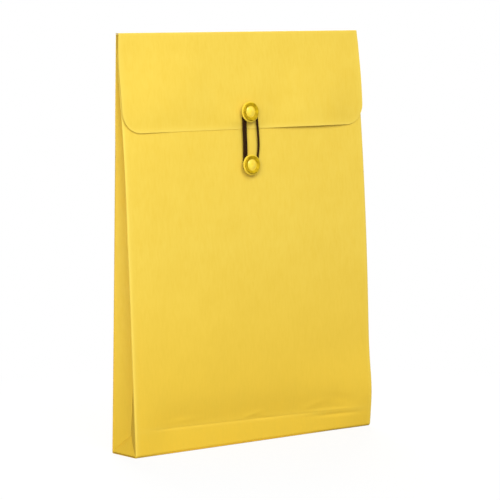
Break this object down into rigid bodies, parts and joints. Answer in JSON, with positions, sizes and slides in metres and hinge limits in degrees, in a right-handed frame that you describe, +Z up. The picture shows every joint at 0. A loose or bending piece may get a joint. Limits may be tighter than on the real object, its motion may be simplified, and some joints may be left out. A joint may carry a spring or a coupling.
{
  "type": "string tie envelope",
  "caption": "Gusseted kraft paper envelope standing on its block bottom, with a hinged flap tied shut by a string wound round turning buttons.",
  "frame": {"origin": "on the floor, under the middle of the block bottom", "axes": "+Z up towards the flap's crease, -Y to the front with the buttons, +X to the right"},
  "size_m": [0.24, 0.034, 0.3323],
  "materials": {
    "kraft_paper": "matte",
    "button_face": "satin",
    "button_rim": "satin",
    "rivet": "satin",
    "spacer": "satin",
    "backing_washer": "matte",
    "string": "matte"
  },
  "bodies": {
    "back_wall": {"back_panel_left": "kraft_paper", "back_panel_right": "kraft_paper", "bottom_panel": "kraft_paper", "bottom_inner_flap": "kraft_paper", "left_dust_flap": "kraft_paper", "right_dust_flap": "kraft_paper", "left_gusset_rear_leaf": "kraft_paper", "right_gusset_rear_leaf": "kraft_paper", "left_gusset_foot": "kraft_paper", "right_gusset_foot": "kraft_paper"},
    "front_wall": {"front_panel": "kraft_paper", "front_foot": "kraft_paper", "left_gusset_front_leaf": "kraft_paper", "right_gusset_front_leaf": "kraft_paper", "lower_rivet": "rivet", "lower_spacer": "spacer", "lower_backing_washer": "backing_washer"},
    "closing_flap": {"flap_spine": "kraft_paper", "flap": "kraft_paper", "upper_rivet": "rivet", "upper_spacer": "spacer", "upper_backing_washer": "backing_washer", "tie_string": "string"},
    "upper_disc": {"upper_button": "button_face", "upper_button_rim": "button_rim"},
    "lower_disc": {"lower_button": "button_face", "lower_button_rim": "button_rim"}
  },
  "joints": [
    {"name": "pocket_fold", "type": "hinge", "parent": "back_wall", "child": "front_wall", "pos_m": [0, 0.00222, 0.332], "axis": [-1, 0, 0], "range_deg": [-5.04, 0], "deforming": ["left_gusset_rear_leaf", "left_gusset_front_leaf", "right_gusset_rear_leaf", "right_gusset_front_leaf", "left_gusset_foot", "right_gusset_foot", "left_dust_flap", "right_dust_flap", "bottom_panel", "bottom_inner_flap"]},
    {"name": "flap_crease", "type": "hinge", "parent": "front_wall", "child": "closing_flap", "pos_m": [0, 0.00222, 0.332], "axis": [-1, 0, 0], "range_deg": [0, 180], "deforming": ["tie_string"]},
    {"name": "upper_button_turn", "type": "hinge", "parent": "closing_flap", "child": "upper_disc", "pos_m": [0, -0.00872, 0.26778], "axis": [0, -0.9977, 0.0675], "continuous": true},
    {"name": "lower_button_turn", "type": "hinge", "parent": "front_wall", "child": "lower_disc", "pos_m": [0, -0.0099, 0.22507], "axis": [0, -0.9983, 0.0576], "continuous": true}
  ]
}
